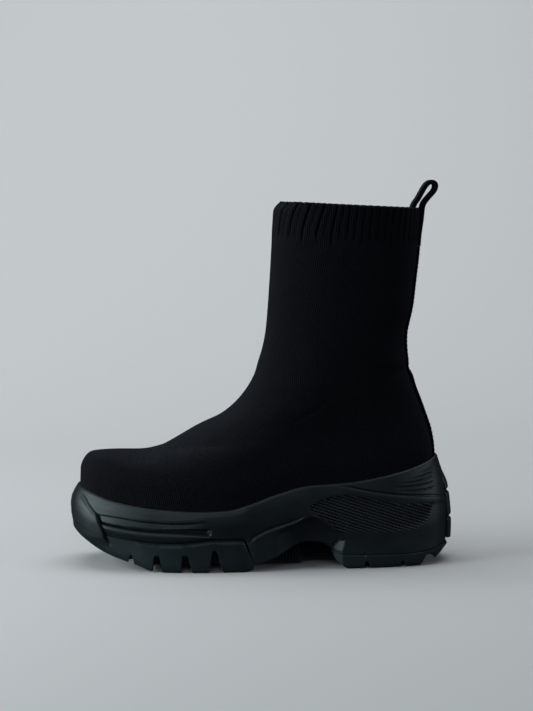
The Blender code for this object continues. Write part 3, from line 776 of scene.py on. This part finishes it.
def cloth(name, colour, gap_shade, across, along, lean, depth, sheen):
    """Return a cloth made in columns: across and along are the pitches of its stitches."""
    made, tree, shader = blank(name)
    spot = add_node(tree, "UVMap", {}, uv_map="cloth").outputs["UV"]
    spot = add_node(tree, "SeparateXYZ", {"Vector": spot}).outputs
    column = maths(tree, "DIVIDE", spot["X"], across)
    slope = maths(tree, "MULTIPLY", maths(tree, "PINGPONG", column, 0.5), lean)
    course = maths(tree, "ADD", maths(tree, "DIVIDE", spot["Y"], along), slope)
    stitch = maths(tree, "SINE", maths(tree, "MULTIPLY", course, 2.0 * math.pi))
    stitch = maths(tree, "ADD", maths(tree, "MULTIPLY", stitch, 0.24), 0.76)
    yarn = maths(tree, "MULTIPLY", crests(tree, column, 1.0), stitch)
    place = tree.nodes.new("ShaderNodeTexCoord").outputs["Object"]
    fluff = noise(tree, place, 1050.0, 4.0)
    wear = mixture(tree, noise(tree, place, 34.0, 7.0, 0.66), 0.7, fluff, 0.75)
    # Painted shade: the cloth's colour is darkened along the knit's rib grooves, by the groove
    # share carried on the mesh.
    painted_groove_shade = add_node(tree, "Attribute", {}, attribute_name="painted_groove_shade").outputs["Fac"]
    lit = maths(tree, "SUBTRACT", 1.0, maths(tree, "MULTIPLY", painted_groove_shade, GROOVE_PAINTED_SHADE))
    tone = maths(tree, "MULTIPLY", maths(tree, "MULTIPLY", yarn, wear), lit)
    # Painted shade between the stitches: the colour runs from the shade colour in the gaps to the
    # yarn's colour on the crowns, varied at random by the wear and fluff noise.
    tint = {"A": (*gap_shade, 1.0), "B": (*colour, 1.0), "Factor": tone}
    tint = add_node(tree, "Mix", tint, data_type="RGBA")
    finish = {
        "Base Color": tint.outputs["Result"],
        "Normal": bump(tree, yarn, 0.8, depth * MM, bump(tree, fluff, 0.5, 0.00025)),
        "Roughness": 0.92,
        "Specular IOR Level": 0.12,
        "Specular Tint": (0.72, 0.86, 1.0, 1.0),
        "Sheen Weight": sheen,
        "Sheen Roughness": 0.45,
        "Sheen Tint": (0.62, 0.76, 0.95, 1.0),
    }
    feed(tree, shader, finish)
    return made


# The twill's yarn colour, then the painted shade between its stitches.
TWILL = ((0.016, 0.016, 0.017), (0.005, 0.005, 0.006))
twill = cloth("black twill", *TWILL, across=1.1, along=1.1, lean=2.0, depth=0.25, sheen=0.08)
insole = finished("insole.twill", bm, twill, "insole")

# Upper: one sock of fine black yarn, knitted in one with a collar of broad ribs that is turned in
# at its rim. It is drawn over the last and cemented into the midsole's cup.
KNIT_WALL = 2.5
UPPER_STATIONS = 220
LEVEL_ROWS = (3, 10, 8, 9, 9, 10, 10, 14, 16, 12, 20)
RIB_COUNT = 54
RIB_BAND = 30.0
RIB_END_SWING = 3.5
RIB_FADE = 9.0
RIB_DEPTH = 1.0
RIB_CROWN = 0.3
GROOVE_HALF_WIDTH = 1.15
SIDE_GROOVE = 0.6
FRONT_GROOVES = (1.25, 0.2)
LINING_GROOVE = 0.4
RIB_LEAN = 5.2
RIB_LEAN_ROUND = (72.0, 104.0, 128.0, 146.0)
LEAST_LEAN = 1.2
LEAN_BAND = 24.0
COLLAR_BAND = 16.0
COLLAR_ROLL = 0.9
COLLAR_SAG = 0.3
COLLAR_DIP = (34.0, 0.2)
COLLAR_CURL = (22.0, 7.5, 4.4)

# Soft folds of the knit: middle (x, z) in side view, half length and half width, slant in degrees
# and height; a fold below zero is a trough. The last column is -1 for the outer side, 1 for the
# inner side and 0 for both; a fold on one side fades out before the front.
FOLD_BEND = 0.006
FOLD_FADE = (1.0, 0.93)
KNIT_FOLDS = (
    (20.0, 146.0, 17.0, 4.5, -24.0, -0.6, 0),
    (24.0, 136.0, 20.0, 4.0, -20.0, 0.5, 0),
    (16.0, 126.0, 22.0, 5.0, -27.0, -0.55, 0),
    (-1.0, 152.0, 13.0, 9.0, 68.0, 1.5, 0),
    (111.0, 189.0, 18.0, 13.0, 0.0, 1.1, 0),
    (100.0, 143.0, 16.0, 3.6, 8.0, -0.9, 0),
    (27.0, 111.0, 28.0, 1.7, 24.5, -0.6, 0),
    (-87.0, 88.0, 16.0, 11.0, 4.0, -2.3, 0),
    (-31.0, 111.0, 13.0, 10.0, 30.0, -1.6, 0),
    (96.0, 151.0, 15.0, 4.0, 14.0, 0.5, 0),
    (-62.0, 84.0, 22.0, 6.0, 32.0, -0.5, -1),
    (-44.0, 92.0, 22.0, 5.0, 36.0, 0.45, -1),
    (-58.0, 84.0, 20.0, 6.0, 30.0, -0.5, 1),
)

levels = [np.arange(count) / count + number for number, count in enumerate(LEVEL_ROWS)]
levels = np.concatenate([*levels, [COLLAR]])
knit_along, knit_side, _, _ = closed_ring(UPPER_STATIONS)
skin = last_point(levels[:, None], knit_along, knit_side)


def steps_between(points, axis):
    """Return how far apart neighbours lie along an axis of a grid of points."""
    return np.linalg.norm(np.diff(points, axis=axis), axis=2)


# Where each point lies on the cloth: round the boot from the back seam, and up from the sole.
ring_step = steps_between(skin, 1)
outer_reach = np.cumsum(ring_step[:, UPPER_STATIONS - 1 :: -1], axis=1)[:, ::-1]
inner_reach = np.cumsum(ring_step[:, UPPER_STATIONS:], axis=1)
seam = np.zeros((len(levels), 1))
round_boot = np.concatenate([outer_reach, seam, -inner_reach], axis=1)
up_boot = np.cumsum(steps_between(skin, 0), axis=0)
up_boot = np.concatenate([np.zeros((1, skin.shape[1])), up_boot])
below_rim = up_boot[-1] - up_boot

# The collar: its edge sags a little between front and back, and its front rolls inwards.
front_x, _, back_x = LAST_SECTIONS[COLLAR][:3]
to_front = skin[:, :, 0] - front_x
reach = np.clip(to_front / (back_x - front_x), 0.0, 1.0)
drop = COLLAR_ROLL + COLLAR_SAG * np.sin(math.pi * reach)
drop = drop + COLLAR_DIP[1] * ease(COLLAR_DIP[0], 0.0, to_front)
skin[:, :, 2] -= drop * ease(COLLAR_BAND, 0.0, below_rim)
curl = np.clip(1.0 - below_rim / COLLAR_CURL[1], 0.0, 1.0) ** 2
skin[:, :, 0] += COLLAR_CURL[2] * curl * ease(COLLAR_CURL[0], 0.0, to_front)


def outward(points):
    """Return the unit normals of a grid of points that closes on itself round the boot."""
    ring = points[:, :-1]
    across = np.roll(ring, -1, axis=1) - np.roll(ring, 1, axis=1)
    normal = unit(np.cross(across, np.gradient(ring, axis=0)))
    return np.concatenate([normal, normal[:, :1]], axis=1)


# The ribs: broad crowns between narrow grooves that lean a little and end unevenly; at the front
# every second groove is deep.
skin_out = outward(skin)
rib_pitch = 2.0 * outer_reach[-1, 0] / RIB_COUNT
lean = RIB_LEAN * between(*RIB_LEAN_ROUND, np.abs(round_boot))
lean = (lean + LEAST_LEAN) * np.clip(1.0 - below_rim / LEAN_BAND, 0.0, 1.0) ** 1.4
outer_turn = outer_reach / np.maximum(outer_reach[:, :1], 1.0)
inner_turn = inner_reach / np.maximum(inner_reach[:, -1:], 1.0)
turn_share = np.concatenate([outer_turn, seam, inner_turn], axis=1)
rib_place = lean * np.sin(math.pi * turn_share) ** 0.5 / rib_pitch
rib_place = rib_place + turn_share * RIB_COUNT / 2.0
off_groove = np.abs(rib_place - np.round(rib_place)) * rib_pitch
groove = ease(1.0, 0.15, off_groove / GROOVE_HALF_WIDTH)
rib_end = RIB_BAND + RIB_END_SWING * np.sin(rib_place * 1.7)
band = ease(rib_end, RIB_BAND - RIB_FADE, below_rim)
at_front = ease(0.5, 0.6, turn_share)
paired = np.where(np.round(rib_place) % 2.0 == 0.0, *FRONT_GROOVES)
groove = groove * (SIDE_GROOVE * (1.0 - at_front) + paired * at_front)
crown = RIB_CROWN * np.sin(math.pi * np.clip(off_groove / rib_pitch, 0.0, 0.5))
ribs = band * (crown - RIB_DEPTH * groove)
folds = np.zeros_like(ribs)
for fold_x, fold_z, half_length, half_width, slant, rise, on_side in KNIT_FOLDS:
    turn = math.radians(slant)
    right = skin[:, :, 0] - fold_x
    up = skin[:, :, 2] - fold_z
    lengthwise = right * math.cos(turn) + up * math.sin(turn)
    crosswise = up * math.cos(turn) - right * math.sin(turn) - FOLD_BEND * lengthwise**2
    on = np.where(knit_side == on_side, ease(*FOLD_FADE, knit_along), 0.0) if on_side else 1.0
    folds += on * rise * hump(lengthwise, half_length) * hump(crosswise, half_width)
outer_skin = skin + skin_out * (ribs + folds)[:, :, None]
lining = skin + skin_out * (folds - KNIT_WALL - LINING_GROOVE * band * groove)[:, :, None]
lining[:, :, 2] = np.maximum(lining[:, :, 2], footbed_z(lining[:, :, 0]) + SEAT_GAP)
top = len(levels) - 1
lining_rows = np.concatenate([np.arange(top, top - 20, -2), np.arange(top - 20, 0, -4), [0]])
middle = (outer_skin[-1] + lining[-1]) / 2.0
half_wall = (outer_skin[-1] - lining[-1]) / 2.0
rim_rise = np.array([0.0, 0.0, 1.0]) * np.linalg.norm(half_wall, axis=1)[:, None]
over_rim = np.linspace(0.0, math.pi, 9)[1:-1, None, None]
roll = middle + half_wall * np.cos(over_rim) + rim_rise * np.sin(over_rim)


def shell(outside, rim, inside):
    """Return the rows of the whole shell: outside, over the rim, inside and back to the foot."""
    return np.concatenate([outside, rim, inside, outside[:1]])


def carried_over(share):
    """Return the shell's rows of a share that is the same on both faces of the knit."""
    return shell(share, np.repeat(share[-1:], len(roll), axis=0), share[lining_rows])


top_up = up_boot[-1] + np.arange(1, len(roll) + 1)[:, None] * 0.5
inside_up = 2.0 * up_boot[-1] + 4.0 - up_boot[lining_rows]
knit_spots = np.stack([carried_over(round_boot), shell(up_boot, top_up, inside_up)], axis=-1)
bm = bmesh.new()
# The share of the rib grooves, carried on the mesh for the knit's painted shade.
painted_groove_shade = {"painted_groove_shade": carried_over(band * groove)}
drape(bm, shell(outer_skin, roll, lining[lining_rows]), spots=knit_spots, shares=painted_groove_shade)
close_up(bm)
# The knit's yarn colour, then the painted shade between its stitches.
KNIT = ((0.0090, 0.0088, 0.0130), (0.0010, 0.0010, 0.0014))
knit = cloth("black knit", *KNIT, across=1.5, along=1.15, lean=0.9, depth=0.6, sheen=0.05)
finished("upper.knit", bm, knit, "upper", sharp=75.0)

# Back tape: black grosgrain webbing sewn over the back seam with a row of thread near each edge.
# It runs from the sole's lip up to the pull loop.
TAPE_WIDTH = 13.0
TAPE_THICKNESS = 1.6
TAPE_TOP_LEVEL = 10.0
TAPE_EDGE_ROUND = 0.55
TAPE_ROWS = 150
STITCH_PITCH = 3.3
STITCH_LENGTH = 2.4
STITCH_RADIUS = 0.32
STITCH_INSET = 1.7
THREAD_SINK = 0.28

# Folds of the tape: height, half width and rise.
TAPE_FOLDS = ((138.0, 4.0, 0.6), (145.5, 3.0, -0.7), (189.0, 13.0, 1.1))


def back_strip(at_levels, across):
    """Return points on the upper's back, up the seam and across it, with their normals."""
    along = np.linspace(0.0, 0.12, 80)
    rows = []
    for level in at_levels:
        ring = last_point(level, along, -1.0)
        x, z = (np.interp(np.abs(across), -ring[:, 1], ring[:, k]) for k in (0, 2))
        rows.append(np.stack([x, across, z], axis=1))
    grid = np.array(rows)
    return grid, unit(np.cross(np.gradient(grid, axis=1), np.gradient(grid, axis=0)))


def tape_buckle(z):
    """Return how far the tape stands off its plain line where the knit folds at the ankle."""
    return sum(rise * hump(z - fold_z, half_width) for fold_z, half_width, rise in TAPE_FOLDS)


rim_back_x, rim_back_z = LAST_SECTIONS[RIM][2:4]
lip_z = rim_z(rim_back_x + TAPE_THICKNESS) + SEAT_GAP
tape_start = RIM + (lip_z - rim_back_z) / (LAST_SECTIONS[RIM + 1][3] - rim_back_z)
fine_levels = np.linspace(tape_start, TAPE_TOP_LEVEL, 600)
climb = reach_along(np.stack([last_columns[k](fine_levels) for k in (2, 3)], axis=1))
tape_up = np.linspace(0.0, climb[-1], TAPE_ROWS)
tape_levels = np.interp(tape_up, climb, fine_levels)
half_tape = TAPE_WIDTH / 2.0
flat = half_tape - TAPE_EDGE_ROUND
turned = TAPE_EDGE_ROUND * (1.0 - np.cos(np.linspace(0.0, math.pi / 2.0, 5)))
tape_across = np.concatenate(
    [turned - half_tape, np.linspace(-flat, flat, 19)[1:-1], half_tape - turned[::-1]]
)
strip, strip_out = back_strip(tape_levels, tape_across)
from_edge = half_tape - np.abs(tape_across)
bulge = rounding(from_edge, TAPE_EDGE_ROUND)
sewn_in = THREAD_SINK * hump(from_edge - STITCH_INSET, 0.5)
over = strip + strip_out * (SEAT_GAP + TAPE_THICKNESS - bulge - sewn_in)[None, :, None]
over = over + strip_out * tape_buckle(strip[:, :, 2])[:, :, None]
under = strip + strip_out * (SEAT_GAP + bulge * 0.6)[None, :, None]
tape_loops = np.concatenate([over, under[:, ::-1], over[:, :1]], axis=1)
wide = np.concatenate([tape_across, tape_across[::-1] + 30.0, tape_across[:1] + 60.0])
tape_spots = np.stack(np.broadcast_arrays(tape_up[:, None], wide[None, :]), axis=-1)
bm = bmesh.new()
drape(bm, tape_loops, spots=tape_spots)
close_up(bm, weld=0.002)
# The webbing's yarn colour, then the painted shade between its stitches.
WEBBING = ((0.0082, 0.0086, 0.0102), (0.0015, 0.0016, 0.002))
webbing = cloth("black webbing", *WEBBING, across=1.05, along=0.8, lean=1.0, depth=0.3, sheen=0.06)
finished("back_tape.webbing", bm, webbing, "back_tape", sharp=60.0)


def add_stitch(bm, middle, along, out, length):
    """Add one stitch of round thread that dips into the cloth at both ends."""
    made = bmesh.ops.create_uvsphere(bm, u_segments=6, v_segments=6, radius=1.0)["verts"]
    side = np.cross(out, along)
    for vert in made:
        x, y, z = vert.co
        spot = middle + along * (z * length / 2.0) + (side * x + out * (y + 0.25)) * STITCH_RADIUS
        vert.co = (spot - ORIGIN) * MM


THREAD_BLACK = (0.020, 0.020, 0.022)
thread = rubber("black thread", THREAD_BLACK, roughness=0.55, grain=0.5, scratch=0.5)
bm = bmesh.new()
stitch_levels = np.interp(np.arange(2.5, climb[-1] - 1.5, STITCH_PITCH), climb, fine_levels)
for sign in (-1.0, 1.0):
    line = sign * (half_tape - STITCH_INSET) + np.array([-0.5, 0.0, 0.5])
    rows, row_out = back_strip(stitch_levels, line)
    rise = unit(np.gradient(rows[:, 1], axis=0))
    for spot, out, up in zip(rows[:, 1], row_out[:, 1], rise):
        stand_off = SEAT_GAP + TAPE_THICKNESS - 0.2 + tape_buckle(spot[2])
        add_stitch(bm, spot + out * stand_off, up, out, STITCH_LENGTH)
finished("back_tape.stitches", bm, thread, None)

# Pull loop: two layers of the same webbing sewn face to face, bent into a teardrop that straddles
# the collar at the back and is tacked down on both of its faces.
LOOP_WIDTH = 12.5
LOOP_THICKNESS = 3.2
LEG_THICKNESS = 1.7
LOOP_LEG_Z = (235.9, 246.0, 256.0)
LOOP_LINE = (
    (120.1, 263.5), (121.0, 267.2), (123.4, 270.8), (126.8, 274.6), (129.4, 278.0), (130.2, 280.9),
    (129.2, 283.1), (126.9, 283.8), (124.2, 282.6), (122.0, 280.0), (119.6, 275.8), (117.0, 271.2),
    (114.5, 267.6), (113.2, 264.2), (112.8, 257.5), (112.1, 248.5),
)
LOOP_SAMPLES = 120
LOOP_EDGE_ROUND = 0.5
FACE_POINTS = 15
EDGE_POINTS = 9
fine_levels = np.linspace(COLLAR - 1.0, COLLAR, 60)
leg_x = np.interp(LOOP_LEG_Z, last_columns[3](fine_levels), last_columns[2](fine_levels))
leg_line = np.stack([leg_x + SEAT_GAP + LOOP_THICKNESS / 2.0, LOOP_LEG_Z], axis=1)
loop_knots = np.concatenate([leg_line, LOOP_LINE])
knot_place = reach_along(loop_knots)
loop_place = np.linspace(0.0, knot_place[-1], LOOP_SAMPLES)
loop_x, loop_z = (curve(np.stack([knot_place, side], axis=1)) for side in loop_knots.T)
loop_path = np.stack([loop_x(loop_place), loop_z(loop_place)], axis=1)
loop_path[1:-1] = (loop_path[:-2] + 2.0 * loop_path[1:-1] + loop_path[2:]) / 4.0
loop_tangent = unit(np.gradient(loop_path, axis=0))
loop_out = np.stack([loop_tangent[:, 1], -loop_tangent[:, 0]], axis=1)
half_wide = LOOP_WIDTH / 2.0
half_thick = LOOP_THICKNESS / 2.0
thinned = LEG_THICKNESS / LOOP_THICKNESS
thinned = thinned + (1.0 - thinned) * ease(4.0, 27.0, loop_place)
loop_path = loop_path - loop_out * half_thick * (1.0 - thinned)[:, None]
flat = half_wide - LOOP_EDGE_ROUND
loop_outline = []
for y in np.linspace(-flat, flat, FACE_POINTS):
    loop_outline.append((y, half_thick - 0.2 * hump(half_wide - STITCH_INSET - abs(y), 0.45)))
for turn in np.linspace(0.0, math.pi / 2.0, 5)[1:]:
    rim_y = flat + LOOP_EDGE_ROUND * math.sin(turn)
    loop_outline.append((rim_y, half_thick * (0.5 + 0.5 * math.cos(turn))))
loop_outline.append((half_wide - 0.45, 0.0))
loop_outline = loop_outline + [(y, -t) for y, t in reversed(loop_outline[:-1])]
near_edge = [(-y, -t) for y, t in loop_outline[FACE_POINTS : FACE_POINTS + EDGE_POINTS]]
loop_outline = np.array(loop_outline + near_edge + loop_outline[:1])
loop_rows = np.array(
    [
        [(p[0] + n[0] * t * thin, y, p[1] + n[1] * t * thin) for y, t in loop_outline]
        for p, n, thin in zip(loop_path, loop_out, thinned)
    ]
)
strap_round = reach_along(loop_outline)
loop_spots = np.stack(np.broadcast_arrays(loop_place[:, None], strap_round[None, :]), axis=-1)
bm = bmesh.new()
drape(bm, loop_rows, spots=loop_spots)
close_up(bm, weld=0.002)
finished("pull_loop.webbing", bm, webbing, "pull_loop", sharp=60.0)

TACKS = (17.6, 19.2)
TACK_LENGTH = 1.9


def on_loop(places, line):
    """Return points or directions of a line along the loop, in the boot's middle plane."""
    x, z = (np.interp(places, loop_place, line[:, k]) for k in (0, 1))
    return np.stack([x, np.zeros_like(x), z], axis=-1)


bm = bmesh.new()
for start, stop in ((2.0, 18.0), (loop_place[-1] - 12.0, loop_place[-1] - 2.0)):
    places = np.arange(start, stop, STITCH_PITCH)
    spots, ups, outs = (on_loop(places, line) for line in (loop_path, loop_tangent, loop_out))
    stands = half_thick * np.interp(places, loop_place, thinned) - 0.15
    for y in (STITCH_INSET - half_wide, half_wide - STITCH_INSET):
        for spot, up, out, stand in zip(spots, ups, outs, stands):
            add_stitch(bm, spot + (0.0, y, 0.0) + out * stand, up, out, STITCH_LENGTH)
for tack in TACKS:
    spot, out = on_loop(tack, loop_path), on_loop(tack, loop_out)
    spot = spot + out * (half_thick * np.interp(tack, loop_place, thinned) + 0.02)
    for y in np.linspace(-4.2, 4.2, 7):
        add_stitch(bm, spot + (0.0, y, 0.0), np.array([0.0, 1.0, 0.0]), out, TACK_LENGTH)
finished("pull_loop.stitches", bm, thread, None)

# Studio: a pale seamless sweep of paper, broad soft lights from the left and above, weaker ones
# from the front and the right, and the camera at the height and angle of the photograph.
PAPER_HALF_WIDTH = 3.0
PAPER_FRONT = -3.0
PAPER_BACK = 2.3
PAPER_BEND = 1.7
PAPER_TOP = 3.2
bm = bmesh.new()
bend_start = PAPER_BACK - PAPER_BEND
profile = [(PAPER_FRONT, 0.0), (bend_start, 0.0)]
for step in range(1, 25):
    turn = step / 24.0 * math.pi / 2.0
    bent = (bend_start + PAPER_BEND * math.sin(turn), PAPER_BEND * (1.0 - math.cos(turn)))
    profile.append(bent)
profile.append((PAPER_BACK, PAPER_TOP))
strip = [bm.verts.new((-PAPER_HALF_WIDTH, y, z)) for y, z in profile]
edges = [bm.edges.new(pair) for pair in zip(strip[:-1], strip[1:])]
swept = bmesh.ops.extrude_edge_only(bm, edges=edges)["geom"]
far_edge = [part for part in swept if isinstance(part, bmesh.types.BMVert)]
bmesh.ops.translate(bm, verts=far_edge, vec=(2.0 * PAPER_HALF_WIDTH, 0.0, 0.0))
bmesh.ops.recalc_face_normals(bm, faces=bm.faces)
mesh = bpy.data.meshes.new("paper")
bm.to_mesh(mesh)
bm.free()
mesh.shade_smooth()
paper = bpy.data.objects.new("paper", mesh)
bpy.context.scene.collection.objects.link(paper)
matt_paper, tree, shader = blank("pale paper")
finish = {"Base Color": (0.685, 0.705, 0.72, 1.0), "Roughness": 0.95, "Specular IOR Level": 0.1}
feed(tree, shader, finish)
mesh.materials.append(matt_paper)
paper.visible_glossy = False
paper.visible_diffuse = False


def soft_light(name, place, aim, size, power, colour):
    """Hang a soft box at a place, turned to its aim."""
    light = bpy.data.lights.new(name, "AREA")
    light.shape = "RECTANGLE"
    light.size, light.size_y = size
    light.energy = power
    light.color = colour
    lamp = bpy.data.objects.new(name, light)
    lamp.location = place
    lamp.rotation_euler = (Vector(aim) - Vector(place)).to_track_quat("-Z", "Y").to_euler()
    bpy.context.scene.collection.objects.link(lamp)


soft_light("window", (-1.5, -0.28, 0.62), (0.0, 0.0, 0.12), (1.5, 1.2), 20.5, (0.93, 0.99, 1.0))
soft_light("ceiling", (0.0, 0.35, 2.3), (0.0, 0.25, 0.0), (2.2, 2.0), 16.0, (0.97, 0.99, 1.0))
soft_light("wall", (0.1, 0.50, 2.0), (0.1, 2.3, 0.75), (2.6, 0.5), 21.0, (0.97, 0.99, 1.0))
soft_light("card", (-0.74, -0.22, 0.10), (-0.12, 0.0, 0.03), (0.5, 0.18), 0.9, (0.94, 0.99, 1.0))
soft_light("fill", (-0.3, -2.1, 1.5), (0.0, 0.0, 0.12), (1.4, 1.0), 5.0, (0.92, 0.97, 1.0))
soft_light("side", (1.5, -0.55, 0.45), (0.05, 0.0, 0.10), (0.9, 0.8), 3.3, (0.94, 0.98, 1.0))
world = bpy.data.worlds.new("room")
world.use_nodes = True
room = world.node_tree.nodes["Background"]
room.inputs["Color"].default_value = (0.78, 0.83, 0.86, 1.0)
room.inputs["Strength"].default_value = 0.035
bpy.context.scene.world = world

CAMERA_PLACE = (-0.0951, -1.4120, 0.2800)
CAMERA_YAW = math.radians(4.0)
CAMERA_PITCH = math.radians(5.07)
PHOTO_FOCUS = 1900.0
PHOTO_HEIGHT = 711.0
lens = bpy.data.cameras.new("camera")
lens.sensor_fit = "VERTICAL"
lens.sensor_height = 24.0
lens.lens = PHOTO_FOCUS / PHOTO_HEIGHT * lens.sensor_height
camera = bpy.data.objects.new("camera", lens)
camera.location = CAMERA_PLACE
camera.rotation_euler = (math.pi / 2.0 - CAMERA_PITCH, 0.0, -CAMERA_YAW)
bpy.context.scene.collection.objects.link(camera)
bpy.context.scene.camera = camera
bpy.context.scene.view_settings.view_transform = "Standard"
